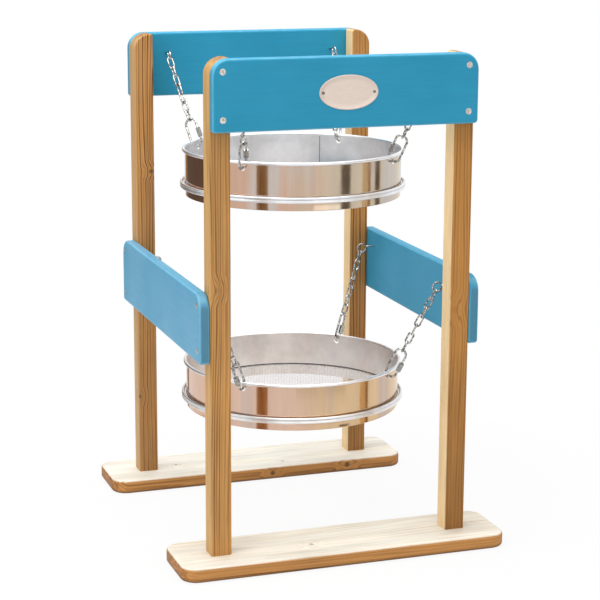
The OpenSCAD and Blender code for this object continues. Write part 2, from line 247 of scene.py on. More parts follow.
def pine(name, order, pith, ring_width, lit_side, brown, lit_colour, grain, low_tone, knots):
    """Planed pine. order puts the two axes across the grain first and the one along it last. grain is the
    rings' contrast, low_tone the painted shade near the ground, and a knot has a place, a radius and a depth.
    The faces turned to the given side get painted light, a paler colour with paler rings."""
    late_brown, late_lit = (0.24, 0.15, 0.07), (0.76, 0.64, 0.46)
    end_grain, knot_brown = (0.62, 0.5, 0.42), (0.10, 0.05, 0.02)
    knot_reach, knot_bend, knot_core = 5, 1.8, 0.4
    contact_shadow_high, contact_shadow_tone, low_start, low_end = 0.0085, 0.26, 0.03, 0.55
    material, tree, shader = surface(name, Roughness=0.55, Specular_IOR_Level=0.3)
    coordinates = put(tree, "ShaderNodeTexCoord").outputs
    axes = put(tree, "ShaderNodeSeparateXYZ", {0: coordinates["Object"]}).outputs
    facing = put(tree, "ShaderNodeSeparateXYZ", {0: vector(tree, "ABSOLUTE", coordinates["Normal"])}).outputs
    place = output(tree, "ShaderNodeCombineXYZ", {i: axes[axis] for i, axis in enumerate(order)})

    def drawn_out(share):
        return vector(tree, "MULTIPLY", place, (1, 1, share))

    # Rings lie round the pith, wander, and bend round the knots. Each has a light and a dark part
    wander = noise(tree, drawn_out(0.07), 11, 2)
    uneven = noise(tree, drawn_out(0.03), 70, 2)
    folded = vector(tree, "MULTIPLY", vector(tree, "ABSOLUTE", place), (1, 1, 0))
    radius = vector(tree, "LENGTH", vector(tree, "SUBTRACT", folded, (*pith, 0)))
    rings = calc(tree, "MULTIPLY_ADD", wander, 9.0, calc(tree, "DIVIDE", radius, ring_width))
    rings = calc(tree, "MULTIPLY_ADD", uneven, 3.2, rings)
    near = [vector(tree, "LENGTH", vector(tree, "SUBTRACT", coordinates["Object"], spot))
            for spot, size, depth in knots]
    for (spot, size, depth), distance in zip(knots, near):
        rings = calc(tree, "ADD", rings, spread(tree, distance, 0, size * knot_reach, knot_bend, 0))
    band = calc(tree, "FRACT", rings)
    number = calc(tree, "FLOOR", rings)
    own = output(tree, "ShaderNodeTexWhiteNoise", {"W": number}, noise_dimensions="1D")
    late = ramp(tree, band, (0, 0), (0.4, 0.12), (0.76, 1), (0.94, 0.85), (1, 0))
    late = calc(tree, "MULTIPLY", late, spread(tree, own, 0, 1, 0.25, 1))
    faint = noise(tree, drawn_out(0.25), 16, 2)
    late = calc(tree, "MULTIPLY", late, spread(tree, faint, 0.3, 0.7, 0.45 * grain, grain))
    fibre = noise(tree, drawn_out(0.025), 600, 3, 0.6)
    cloud = noise(tree, drawn_out(0.2), 24, 3)

    # One side gets painted light, a paler colour with paler rings, and the ends are sawn, darker and coarser
    side = spread(tree, vector(tree, "DOT_PRODUCT", coordinates["Normal"], lit_side), 0.35, 0.95)
    ground = mixed(tree, side, brown, lit_colour)
    dark = mixed(tree, 1.0, ground, mixed(tree, side, late_brown, late_lit), "MULTIPLY")
    colour = mixed(tree, late, ground, dark)
    sawn = spread(tree, facing[order[2]], 0.6, 0.95)
    ends = mixed(tree, 1.0, colour, end_grain, "MULTIPLY")
    colour = mixed(tree, calc(tree, "MULTIPLY", sawn, 0.6), colour, ends)
    fibrous = spread(tree, fibre, 0.25, 0.75, 0.84, 1.12, "LINEAR")
    tone = calc(tree, "MULTIPLY", fibrous, spread(tree, cloud, 0.3, 0.7, 0.84, 1.1, "LINEAR"))
    # A painted contact shadow darkens the lowest few millimetres.
    tone = calc(tree, "MULTIPLY", tone, spread(tree, axes["Z"], 0, contact_shadow_high, contact_shadow_tone, 1))
    # Painted shade darkens the faces near the ground, apart from the side with painted light.
    lower = spread(tree, axes["Z"], low_start, low_end, low_tone, 1)
    tone = calc(tree, "MULTIPLY", tone, calc(tree, "MAXIMUM", lower, side))
    coarse = spread(tree, noise(tree, coordinates["Object"], 130, 3, 0.7), 0.35, 0.65, 0.6, 1.2)
    tone = calc(tree, "MULTIPLY", tone, output(tree, "ShaderNodeMix", {0: sawn, 2: 1.0, 3: coarse}))
    colour = mixed(tree, 1.0, colour, grey(tree, tone), "MULTIPLY")
    for (spot, size, depth), distance in zip(knots, near):
        colour = mixed(tree, spread(tree, distance, size * knot_core, size, depth, 0), colour, knot_brown)
    tree.links.new(colour, shader.inputs["Base Color"])
    bumped(tree, shader, calc(tree, "MULTIPLY_ADD", late, 0.5, fibre), 0.3, 0.0006)
    return material


def made(name, mesh, body, slot, *replaced):
    """Adds a finished piece that rides on a body and stands for CAD nodes."""
    piece = linked(name, mesh)
    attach(piece, body)
    if replaced:
        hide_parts(*replaced)


def mesh_of(name, form, material, crease=0.6):
    """Turns a bmesh into a smooth mesh whose edges over the crease angle stay sharp."""
    bmesh.ops.remove_doubles(form, verts=form.verts, dist=1e-7)
    bmesh.ops.recalc_face_normals(form, faces=form.faces)
    for edge in form.edges:
        edge.smooth = edge.calc_face_angle(0) < crease
    for face in form.faces:
        face.smooth = True
    mesh = bpy.data.meshes.new(name)
    form.to_mesh(mesh)
    form.free()
    mesh.materials.append(material)
    return mesh


def loft(form, rings, close=True):
    """Joins rows of points, each a closed round, by faces. close also joins the last row to the first."""
    rows = [[form.verts.new(point) for point in ring] for ring in rings]
    pairs = list(zip(rows, rows[1:] + rows[:1])) if close else list(zip(rows, rows[1:]))
    for one, two in pairs:
        for i in range(len(one)):
            j = (i + 1) % len(one)
            form.faces.new((one[i], one[j], two[j], two[i]))
    return rows


def even_angles(count):
    return [math.tau * i / count for i in range(count)]


def outline(half_u, half_v, radii, inset):
    """A rounded rectangle, drawn in from its size by inset. radii start at the corner of +u and +v."""
    corner_steps = 8
    points = []
    for number, (radius, (su, sv)) in enumerate(zip(radii, ((1, 1), (-1, 1), (-1, -1), (1, -1)))):
        for step in range(corner_steps + 1):
            angle = math.pi / 2 * (number + step / corner_steps)
            points.append((su * (half_u - radius) + (radius - inset) * math.cos(angle),
                           sv * (half_v - radius) + (radius - inset) * math.sin(angle)))
    return points


def plank(name, axes, centre, halves, radii, ease, material, holes=()):
    """A board with eased edges and countersunk holes (u, v, radius, depth) in its +w face. axes are u, v
    and w. The flat faces are shaded flat, and a last row just past each eased edge holds its curve."""
    ease_steps, held_at, hole_steps = 5, 1.15, 32
    form = bmesh.new()
    turn, (half_u, half_v, half_w) = Matrix(axes).transposed(), halves

    def at(u, v, w):
        return Vector(centre) + turn @ Vector((u, v, w))

    def edges_of(row):
        return [form.edges.get((one, two)) for one, two in zip(row, row[1:] + row[:1])]

    def mark(point):
        return tuple(round(value, 5) for value in point)

    quarter = [math.pi / 2 * k / ease_steps for k in range(ease_steps + 1)]
    bends = [(ease * (1 - math.sin(a)), ease * (1 - math.cos(a))) for a in quarter] + [(0, ease * held_at)]
    levels = [(inset, drop - half_w) for inset, drop in bends]
    levels += [(inset, half_w - drop) for inset, drop in reversed(bends)]
    rings = [[at(u, v, w) for u, v in outline(half_u, half_v, radii, inset)] for inset, w in levels]
    rows = loft(form, rings, close=False)
    back_face = form.faces.new(rows[0])
    rim = edges_of(rows[-1])
    for u, v, radius, depth in holes:
        rounds = []
        for r, w in ((radius, half_w), (radius - depth, half_w - depth)):
            rounds.append([at(u + r * math.cos(a), v + r * math.sin(a), w) for a in even_angles(hole_steps)])
        sides = loft(form, rounds, close=False)
        form.faces.new(sides[1])
        rim += edges_of(sides[0])
    filled = bmesh.ops.triangle_fill(form, use_beauty=True, edges=rim, normal=turn @ Z)["geom"]
    flats = [back_face] + [item for item in filled if isinstance(item, bmesh.types.BMFace)]
    flat_marks = {mark(face.calc_center_median()) for face in flats}
    mesh = mesh_of(name, form, material)
    for face in mesh.polygons:
        face.use_smooth = len(face.vertices) == 4 and mark(face.center) not in flat_marks
    return mesh


CORNERS = {"front_left": (-1, -1), "front_right": (1, -1), "back_left": (-1, 1), "back_right": (1, 1)}
X, Y, Z = Vector((1, 0, 0)), Vector((0, 1, 0)), Vector((0, 0, 1))
post_low, post_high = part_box("post_back_right")
post_x, post_y = (post_low.x + post_high.x) / 2, (post_low.y + post_high.y) / 2
post_half, foot_top, stand_top = (post_high.x - post_low.x) / 2, post_low.z, post_high.z
big_corner, small_corner, post_ease, sunk = 0.028, 0.004, 0.003, 0.003
front_grown = ("XYZ", (0.182, 0.268), 0.0044, (-1, 0, 0.5))
back_grown = ("XYZ", (0.16, 0.21), 0.0042, (-1, 0, 0.5))
# Each post has its own copy of the pine. The painted light on its left face and the painted shade near its
# foot follow how the light falls on that post.
pines = {
    "front_left": pine("front_left_pine", *front_grown, (0.64, 0.325, 0.1), (0.6, 0.355, 0.132), 1.0, 1.04,
                       [((-0.213, -0.255, 0.47), 0.006, 0.15)]),
    "front_right": pine("front_right_pine", *front_grown, (0.64, 0.293, 0.07), (0.96, 0.71, 0.4), 0.75, 0.61,
                        [((0.2, -0.255, 0.41), 0.008, 0.15)]),
    "back_left": pine("back_left_pine", *back_grown, (0.64, 0.32, 0.104), (0.54, 0.335, 0.15), 1.15, 0.82,
                      [((-0.196, 0.22, 0.591), 0.005, 0.8), ((-0.2235, 0.22, 0.17), 0.005, 0.6)]),
    "back_right": pine("back_right_pine", *back_grown, (0.6, 0.285, 0.08), (0.95, 0.7, 0.39), 1.0, 0.69,
                       [((0.215, 0.22, 0.56), 0.005, 0.4)]),
}
for corner, (sx, sy) in CORNERS.items():
    low = foot_top - sunk
    radii = [small_corner] * 4
    radii[0 if sx > 0 else 1] = big_corner
    centre = (sx * post_x, sy * post_y, (stand_top + low) / 2)
    halves = (post_half, (stand_top - low) / 2, post_half)
    mesh = plank("post_" + corner, (X, Z, -Y), centre, halves, radii, post_ease, pines[corner])
    made("post_" + corner + "_planed", mesh, "stand", "pine", "post_" + corner)


# Feet: two thick pale pine boards flat on the ground under the posts, their corners rounded.
# The tops are almost white with painted light, and the sawn edges are brown with a few knots.
laid_flat = ("YZX", (0.27, -0.05), 0.0045, (0, 0, 1), (0.6, 0.28, 0.08))
# The back foot's copy is paler still: painted light that makes up for the shade on it.
pale_pines = {
    "front": pine("front_pale_pine", *laid_flat, (0.9, 0.84, 0.73), 1.0, 1.0, [
        ((-0.05, -0.25, 0.024), 0.006, 0.5)]),
    "back": pine("back_pale_pine", *laid_flat, (0.98, 0.95, 0.86), 1.0, 1.0, [
        ((0.02, 0.1695, 0.012), 0.006, 0.85), ((0.17, 0.1695, 0.014), 0.007, 0.85),
        ((-0.15, 0.24, 0.024), 0.005, 0.5), ((0.05, 0.2, 0.024), 0.004, 0.5)]),
}
foot_ease, foot_pair = 0.005, 0.008
screw_head_r, screw_room, sink_depth = 0.0052, 0.0004, 0.0025
for end, sy in (("front", -1), ("back", 1)):
    foot_low, foot_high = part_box("foot_" + end)
    centre, half = (foot_low + foot_high) / 2, (foot_high - foot_low) / 2
    holes = [(sx * post_x + step, centre.y - sy * post_y, screw_head_r + screw_room, sink_depth)
             for sx in (-1, 1) for step in (-foot_pair, foot_pair)]
    radii = (big_corner,) * 4
    mesh = plank("foot_" + end, (X, -Y, -Z), centre, half, radii, foot_ease, pale_pines[end], holes)
    made("foot_" + end + "_planed", mesh, "stand", "pale_pine", "foot_" + end)


# Boards: four planed boards in satin blue paint, two across the posts' tops and two along the sides.
# The paint lets the grain show faintly, and along the eased edges it is worn thin and carries a painted
# highlight.
def blue_paint(name, stretch, along, first, second):
    """Paint between two blues. stretch draws the grain out, and the ends that along points to are darker."""
    grain_blue, end_blue, wear_and_highlight_blue = (0.03, 0.25, 0.42), (0.085, 0.24, 0.34), (0.28, 0.62, 0.78)
    material, tree, shader = surface(name, Roughness=0.45, Specular_IOR_Level=0.2)
    coordinates = put(tree, "ShaderNodeTexCoord").outputs
    place, normal = coordinates["Object"], coordinates["Normal"]
    grain = noise(tree, vector(tree, "MULTIPLY", place, stretch), 320, 3, 0.6)
    cloud = noise(tree, place, 9, 2)
    facing = put(tree, "ShaderNodeSeparateXYZ", {0: vector(tree, "ABSOLUTE", normal)}).outputs
    flatness = calc(tree, "MAXIMUM", calc(tree, "MAXIMUM", facing[0], facing[1]), facing[2])
    rubbed = spread(tree, noise(tree, place, 60, 3), 0.35, 0.7, 0.5, 1)
    # The eased edges are paler: worn paint in patches, together with a painted highlight.
    wear_and_highlight = calc(tree, "MULTIPLY", spread(tree, flatness, 0.75, 0.99, 1, 0), rubbed)
    end = spread(tree, calc(tree, "ABSOLUTE", vector(tree, "DOT_PRODUCT", normal, along)), 0.9, 0.99)
    colour = mixed(tree, spread(tree, cloud, 0.3, 0.7), first, second)
    colour = mixed(tree, spread(tree, grain, 0.35, 0.7, 0, 0.22), colour, grain_blue)
    colour = mixed(tree, calc(tree, "MULTIPLY", end, 0.8), colour, end_blue)
    colour = mixed(tree, calc(tree, "MULTIPLY", wear_and_highlight, 0.4), colour, wear_and_highlight_blue)
    tree.links.new(colour, shader.inputs["Base Color"])
    bumped(tree, shader, grain, 0.12, 0.0004)
    return material


screw_inset, board_ease, board_corner = 0.02, 0.0045, 0.006
along_x, along_y = (0.05, 1, 1), (1, 0.05, 1)
across_paint = blue_paint("blue_paint_across", along_x, X, (0.026, 0.32, 0.51), (0.032, 0.345, 0.55))
# The left board's paint is paler: a painted sheen of the white surroundings on its outer face.
painted_sheen_paint = blue_paint("blue_paint_left", along_y, Y, (0.108, 0.345, 0.52), (0.144, 0.375, 0.545))
along_paint = blue_paint("blue_paint_right", along_y, Y, (0.045, 0.33, 0.525), (0.06, 0.355, 0.555))
for board, axes, paint, screw_at in (
    ("top_board_front", (X, Z, -Y), across_paint, post_x),
    ("top_board_back", (-X, Z, Y), across_paint, post_x),
    ("side_board_left", (-Y, Z, -X), painted_sheen_paint, post_y),
    ("side_board_right", (Y, Z, X), along_paint, post_y),
):
    board_low, board_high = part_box(board)
    centre, size = (board_low + board_high) / 2, board_high - board_low
    half = (max(size.x, size.y) / 2, size.z / 2, min(size.x, size.y) / 2)
    holes = [(su * screw_at, sv * (half[1] - screw_inset), screw_head_r + screw_room, sink_depth)
             for su in (-1, 1) for sv in (-1, 1)]
    radii = (big_corner, big_corner, board_corner, board_corner)
    mesh = plank(board, axes, centre, half, radii, board_ease, paint, holes)
    made(board + "_painted", mesh, "stand", "blue_paint", board)


# Screws: countersunk steel wood screws with a cross recess. Their heads lie flush in the painted
# boards and in the undersides of the feet.
def zinc_plate(name, rough, bright=1.0, dull=(0.34, 0.32, 0.3), shiny=(0.6, 0.58, 0.55)):
    """Zinc plating, which is patchy between a dull and a shiny tint."""
    material, tree, shader = surface(name, Metallic=1.0)
    place = put(tree, "ShaderNodeTexCoord").outputs["Object"]
    patch = noise(tree, place, 260, 3, 0.6)
    low, high = (tuple(bright * share for share in tint) for tint in (dull, shiny))
    colour = mixed(tree, spread(tree, patch, 0.3, 0.7), low, high)
    tree.links.new(colour, shader.inputs["Base Color"])
    roughness = spread(tree, patch, 0.3, 0.7, rough + 0.1, rough - 0.05, "LINEAR")
    tree.links.new(roughness, shader.inputs["Roughness"])
    bumped(tree, shader, noise(tree, place, 900, 2), 0.08, 0.0002)
    return material


def capped(form, rings):
    """Joins rows of points by faces and closes both ends."""
    rows = loft(form, rings, close=False)
    form.faces.new(rows[0])
    form.faces.new(rows[-1])


screw_steel = zinc_plate("screw_steel", 0.4, 1.25)
screw_shank_r, screw_tip, screw_steps, head_edge = 0.00225, 0.009, 48, 0.0001
board_screw_long, foot_screw_long = 0.045, 0.064
recess_arm, recess_half, recess_depth, recess_slope = 0.0026, 0.00055, 0.0016, 0.0003
head_shares = (0.03, 0.06, 0.1, 0.15, 0.2, 0.26, 0.32, 0.38, 0.44, 0.5, 0.56, 0.62, 0.7, 0.85, 0.96)
tip_share = 0.1


def screw_mesh(name, length):
    """A screw along -Z with its head at the origin. Rings of the head sink into a cross-shaped recess."""
    form = bmesh.new()
    angles = even_angles(screw_steps)

    def head_height(radius, angle):
        x, y = abs(radius * math.cos(angle)), abs(radius * math.sin(angle))
        inside = max(min(recess_half - x, recess_arm - y), min(recess_half - y, recess_arm - x))
        sunk_share = min(1, max(0, inside / recess_slope + 0.5))
        return -recess_depth * sunk_share * (1 - 0.5 * radius / recess_arm)

    rings = []
    for share in head_shares:
        radius = share * screw_head_r
        rings.append([around(radius, a, head_height(radius, a)) for a in angles])
    shank = ((screw_head_r, -head_edge), (screw_shank_r, screw_shank_r - screw_head_r),
             (screw_shank_r, screw_tip - length), (screw_shank_r * tip_share, -length))
    for radius, z in shank:
        rings.append([around(radius, a, z) for a in angles])
    capped(form, rings)
    return mesh_of(name, form, screw_steel)


def tree_of(name, inputs):
    """An empty Geometry Nodes tree with named inputs. Returns it with its inputs and its output socket."""
    tree = bpy.data.node_groups.new(name, "GeometryNodeTree")
    tree.interface.new_socket("Geometry", in_out="INPUT", socket_type="NodeSocketGeometry")
    for label, kind in inputs.items():
        tree.interface.new_socket(label, in_out="INPUT", socket_type="NodeSocket" + kind)
    tree.interface.new_socket("Geometry", in_out="OUTPUT", socket_type="NodeSocketGeometry")
    return tree, put(tree, "NodeGroupInput").outputs, put(tree, "NodeGroupOutput").inputs[0]


def own_turn(tree):
    """Each point's own turn, as a rotation."""
    turn = output(tree, "GeometryNodeInputNamedAttribute", {"Name": "turn"}, data_type="FLOAT_VECTOR")
    return output(tree, "FunctionNodeEulerToRotation", {0: turn})


def close_tree(tree, geometry, material, result):
    """Ends a tree: makes its instances real, smooth and of one material."""
    real = output(tree, "GeometryNodeRealizeInstances", {0: geometry})
    smooth = output(tree, "GeometryNodeSetShadeSmooth", {0: real})
    painted = output(tree, "GeometryNodeSetMaterial", {0: smooth, "Material": material})
    tree.links.new(painted, result)


def grown(name, base, tree, values):
    """Runs a tree on a base mesh with its named inputs set, and returns the result as a plain mesh."""
    seed = linked(name + "_base", base)
    modifier = seed.modifiers.new("grow", "NODES")
    modifier.node_group = tree
    for item in tree.interface.items_tree:
        if item.in_out == "INPUT" and item.name in values:
            modifier[item.identifier] = values[item.name]
    bpy.context.view_layer.update()
    result = seed.evaluated_get(bpy.context.evaluated_depsgraph_get())
    mesh = bpy.data.meshes.new_from_object(result)
    mesh.name = name
    seed.modifiers.remove(modifier)
    bpy.data.objects.remove(seed)
    return mesh


def spots(name, places, turns):
    """A mesh of single points, each with its own turn kept as an attribute."""
    mesh = bpy.data.meshes.new(name)
    mesh.from_pydata([tuple(place) for place in places], [], [])
    attribute = mesh.attributes.new("turn", "FLOAT_VECTOR", "POINT")
    for item, turn in zip(attribute.data, turns):
        item.vector = turn
    return mesh


# One tree puts a screw on each of its points
planting, planting_in, planting_out = tree_of("planting", {"Shape": "Object", "Finish": "Material"})
shape = put(planting, "GeometryNodeObjectInfo", {"Object": planting_in["Shape"]}).outputs["Geometry"]
planted = output(planting, "GeometryNodeInstanceOnPoints", {
    "Points": planting_in["Geometry"], "Instance": shape, "Rotation": own_turn(planting)})
close_tree(planting, planted, planting_in["Finish"], planting_out)

top_low, top_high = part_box("top_board_back")
side_low, side_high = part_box("side_board_right")
quarter_turn, top_twist, side_twist, foot_twist = math.pi / 2, 0.4, 0.7, 90
signs = list(CORNERS.values())
screw_sets = {
    "top_board_screws": (board_screw_long, [
        ((sx * post_x, sy * top_high.y, z), (-sy * quarter_turn, top_twist * sx, 0))
        for sx, sy in signs for z in (top_low.z + screw_inset, top_high.z - screw_inset)]),
    "side_board_screws": (board_screw_long, [
        ((sx * side_high.x, sy * post_y, z), (side_twist * sy, sx * quarter_turn, side_twist * sx * sy))
        for sx, sy in signs for z in (side_low.z + screw_inset, side_high.z - screw_inset)]),
    "foot_screws": (foot_screw_long, [
        ((sx * post_x + step, sy * post_y, 0), (math.pi, 0, step * foot_twist))
        for sx, sy in signs for step in (-foot_pair, foot_pair)]),
}
for screws, (screw_length, plants) in screw_sets.items():
    pattern = linked(screws + "_pattern", screw_mesh(screws + "_one", screw_length))
    base = spots(screws + "_spots", [place for place, turn in plants], [turn for place, turn in plants])
    mesh = grown(screws + "_turned", base, planting, {"Shape": pattern, "Finish": screw_steel})
    bpy.data.objects.remove(pattern)
    made(screws + "_turned", mesh, "stand", "zinc", screws)


# Oval plate: a bare sheet of satin metal with a rolled-over edge, on the front board. Two small
# round-headed pins hold it.
plate_low, plate_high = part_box("oval_plate")
plate_centre = (plate_low + plate_high) / 2
plate_a, plate_b = (plate_high.x - plate_low.x) / 2, (plate_high.z - plate_low.z) / 2
plate_back, plate_front = plate_high.y, plate_low.y
plate_dark, plate_light = (0.68, 0.57, 0.5), (0.72, 0.61, 0.54)
satin_plate, plate_tree, plate_shader = surface("satin_plate", Metallic=1.0, Roughness=0.42)
plate_place = put(plate_tree, "ShaderNodeTexCoord").outputs["Object"]
brushed = noise(plate_tree, vector(plate_tree, "MULTIPLY", plate_place, (0.1, 1, 1)), 900, 2)
plate_colour = mixed(plate_tree, spread(plate_tree, brushed, 0.3, 0.7), plate_dark, plate_light)
plate_tree.links.new(plate_colour, plate_shader.inputs["Base Color"])
bumped(plate_tree, plate_shader, brushed, 0.02, 0.0002)

plate_steps, plate_edge, edge_share = 96, 0.0008, 0.3
border_wide, dip_start, dip_flat, dip = 0.0022, 0.003, 0.01, 0.0003
plate_section = (
    (0, plate_back), (0, plate_front + plate_edge),
    (plate_edge * edge_share, plate_front + plate_edge * edge_share), (plate_edge, plate_front),
    (border_wide, plate_front), (dip_start, plate_front + dip), (dip_flat, plate_front + dip),
)
form = bmesh.new()
rings = []
for inset, y in plate_section:
    rings.append([(plate_centre.x + (plate_a - inset) * math.cos(a), y,
                   plate_centre.z + (plate_b - inset) * math.sin(a)) for a in even_angles(plate_steps)])
capped(form, rings)
made("oval_plate_bare", mesh_of("oval_plate_bare", form, satin_plate), "stand", "plate", "oval_plate")

pin_r, pin_high, pin_x, pin_sunk, pin_steps, pin_crease = 0.0025, 0.0012, 0.043, 0.0003, 24, 1.2
form = bmesh.new()
for sx in (-1, 1):
    rings = []
    for angle in (0, 20, 40, 60, 80):
        radius, rise = pin_r * math.cos(math.radians(angle)), pin_high * math.sin(math.radians(angle))
        rings.append([(sx * pin_x + radius * math.cos(a), plate_front - rise + pin_sunk,
                       plate_centre.z + radius * math.sin(a)) for a in even_angles(pin_steps)])
    capped(form, rings)
pin_steel = zinc_plate("pin_steel", 0.35, 0.4)
pins = mesh_of("plate_pin_heads", form, pin_steel, pin_crease)
made("plate_pin_heads", pins, "stand", "zinc", "plate_pins")


# Hooks: zinc-plated screw hooks, turned into the boards' inner faces and bent to a ring. Like the
# chains and quick links that hang from them, they carry painted reflections in small very dark and very
# bright patches.
def finish_nodes(material, *names):
    """Gives CAD nodes that are shown as they are their finish."""
    for name in names:
        frame["nodes"][name].data.materials.clear()
        frame["nodes"][name].data.materials.append(material)


# A very dark and a very bright tint, whose small patches are painted reflections on the hooks, chains and
# quick links.
dark_reflection_tint, bright_reflection_tint = (0.1, 0.095, 0.09), (0.84, 0.82, 0.79)
hook_zinc = zinc_plate("hook_zinc", 0.2, 1.0, dark_reflection_tint, bright_reflection_tint)
finish_nodes(hook_zinc, "hooks_upper", "hooks_lower")


# Chains: short steel links with a welded joint on one side, zinc plated. The first link hangs in
# the hook's ring, and each next one is turned a quarter against the one above it.
chain_zinc = zinc_plate("chain_zinc", 0.16, 1.0, dark_reflection_tint, bright_reflection_tint)
link_long, link_wide, link_wire, link_count = 0.018, 0.006, 0.003, 7
weld_swell, weld_full, weld_end = 0.16, 0.0006, 0.0022
bend_points, loop_points, wire_sides, bend_share = 10, 44, 12, 0.4999

# One tree bends a wire to a loop with a swollen weld and puts it on each of its points
loops, loops_in, loops_out = tree_of("wire_loops", {
    "Long": "Float", "Wide": "Float", "Wire": "Float", "Weld": "Float", "Finish": "Material"})
outer_long = calc(loops, "ADD", loops_in["Long"], loops_in["Wire"])
outer_wide = calc(loops, "ADD", loops_in["Wide"], loops_in["Wire"])
box = output(loops, "GeometryNodeCurvePrimitiveQuadrilateral", {"Width": outer_wide, "Height": outer_long})
bend_r = calc(loops, "MULTIPLY", outer_wide, bend_share)
bent = output(loops, "GeometryNodeFilletCurve", {
    "Curve": box, "Count": bend_points, "Radius": bend_r}, mode="POLY")
fine = output(loops, "GeometryNodeResampleCurve", {"Curve": bent, "Count": loop_points})
spot = put(loops, "ShaderNodeSeparateXYZ", {0: output(loops, "GeometryNodeInputPosition")}).outputs
to_weld = spread(loops, calc(loops, "ABSOLUTE", spot[1]), weld_full, weld_end, 1.0, 0.0, "LINEAR")
near = calc(loops, "MULTIPLY", calc(loops, "GREATER_THAN", spot[0], 0.0), to_weld)
swell = calc(loops, "MULTIPLY_ADD", near, loops_in["Weld"], 1.0)
swollen = output(loops, "GeometryNodeSetCurveRadius", {"Curve": fine, "Radius": swell})
wire_r = calc(loops, "MULTIPLY", loops_in["Wire"], 0.5)
wire = output(loops, "GeometryNodeCurvePrimitiveCircle", {"Resolution": wire_sides, "Radius": wire_r})
tube = output(loops, "GeometryNodeCurveToMesh", {"Curve": swollen, "Profile Curve": wire})
upright = output(loops, "GeometryNodeTransform", {"Geometry": tube, "Rotation": (quarter_turn, 0, 0)})
strung = output(loops, "GeometryNodeInstanceOnPoints", {
    "Points": loops_in["Geometry"], "Instance": upright, "Rotation": own_turn(loops)})
close_tree(loops, strung, loops_in["Finish"], loops_out)


def across(way, direction):
    """The direction square to a chain's way that points as near as it can to another one."""
    return (direction - way * direction.dot(way)).normalized()


def axes_of(wide, way):
    """The turn of a loop that hangs along a way, with its width in another direction."""
    return Matrix((wide, way.cross(wide), way)).transposed()


TIERS = ("upper", "lower")
pivots = {joint["name"]: Vector(joint["pos_m"]) for joint in frame["joints"] if "pos_m" in joint}
link_sizes = {
    "Long": link_long, "Wide": link_wide, "Wire": link_wire, "Weld": weld_swell, "Finish": chain_zinc}
strings = {}
for tier in TIERS:
    for corner, (sx, sy) in CORNERS.items():
        at = tier + "_" + corner
        top, bend, low = (pivots[name + at] for name in ("top_swing_", "chain_swing_", "quick_link_swing_"))
        way = (low - top).normalized()
        first = across(way, X if tier == "upper" else Y)
        last = across(way, Vector((sx, sy, 0)).normalized())
        # The links share the small turn that is left between the hook's ring and the quick link
        whole = math.atan2(way.dot(first.cross(last)), first.dot(last)) - quarter_turn * link_count * sx * sy
        whole -= math.pi * round(whole / math.pi)
        step_turn = quarter_turn * sx * sy + whole / link_count
        step = (low - bend).length / (link_count - 1)
        places, turns = [], []
        for number in range(link_count):
            middle = (bend - top).length + number * step - (link_long + link_wire) / 2
            wide = Matrix.Rotation(number * step_turn, 3, way) @ first
            places.append(top + way * middle)
            turns.append(tuple(axes_of(wide, way).to_euler()))
        strings[at] = (way, last)
        for piece, start, stop in (("top_link_", 0, 1), ("chain_", 1, link_count)):
            base = spots(at + "_spots", places[start:stop], turns[start:stop])
            mesh = grown(piece + at + "_welded", base, loops, link_sizes)
            made(piece + at + "_welded", mesh, piece + at, "zinc", piece + at)


# Quick links: oblong wire loops through the holes under the sieves' rims. A six-sided sleeve nut on
# a thread closes the opening in one side.
link_zinc = zinc_plate("quick_link_zinc", 0.16, 1.0, dark_reflection_tint, bright_reflection_tint)
nut_zinc = zinc_plate("sleeve_nut_zinc", 0.24, 0.75)
nut_flats, nut_long, nut_bore, nut_steps, nut_crease = 0.008, 0.016, 0.0021, 48, 0.4
flat, end, bevel_slope, sixth = nut_flats / 2, nut_flats / 2 * 0.97, 0.55, math.pi / 3
for at, (way, wide) in strings.items():
    finish_nodes(link_zinc, "quick_link_" + at)
    nut_low, nut_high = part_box("sleeve_nut_" + at)
    centre, turn = (nut_low + nut_high) / 2, axes_of(wide, way)
    rings = []
    for side in (1, -1):
        face_z = side * nut_long / 2
        edge, rim, bore = [], [], []
        for a in even_angles(nut_steps):
            out = flat / math.cos(a % sixth - sixth / 2)
            edge_z = side * (nut_long / 2 - (out - end) * bevel_slope)
            for row, radius, z in ((edge, out, edge_z), (rim, end, face_z), (bore, nut_bore, face_z)):
                row.append(centre + turn @ around(radius, a, z))
        rings += [edge, rim, bore] if side == 1 else [bore, rim, edge]
    form = bmesh.new()
    loft(form, rings)
    mesh = mesh_of("sleeve_nut_" + at, form, nut_zinc, nut_crease)
    made("sleeve_nut_" + at + "_bevelled", mesh, "sleeve_nut_" + at, "zinc", "sleeve_nut_" + at)


# Sieves: a band of bright stainless sheet with a rolled rim, a skirt under it, and woven wire
# between the two beads. Four punched holes under the rim take the quick links.
wall_out, sheet, rim_r, bead_r, bead_out = 0.1875, 0.001, 0.0028, 0.0023, 0.0059
wall_in, bead_at = wall_out - sheet, wall_out + bead_out
hole_r, hole_drop, hole_columns, columns = 0.0048, 0.0124, 4, 480
net_r, net_t, net_pitch, net_wire, net_sides = 0.1903, 0.0012, 0.005, 0.0005, 4
groove, groove_share, flange_bend, hem, net_edge_share = 0.0016, 0.3, 0.0006, 0.0007, 0.72
lap_t, lap_wide, sheet_crease = 0.0003, 0.0009, 0.5


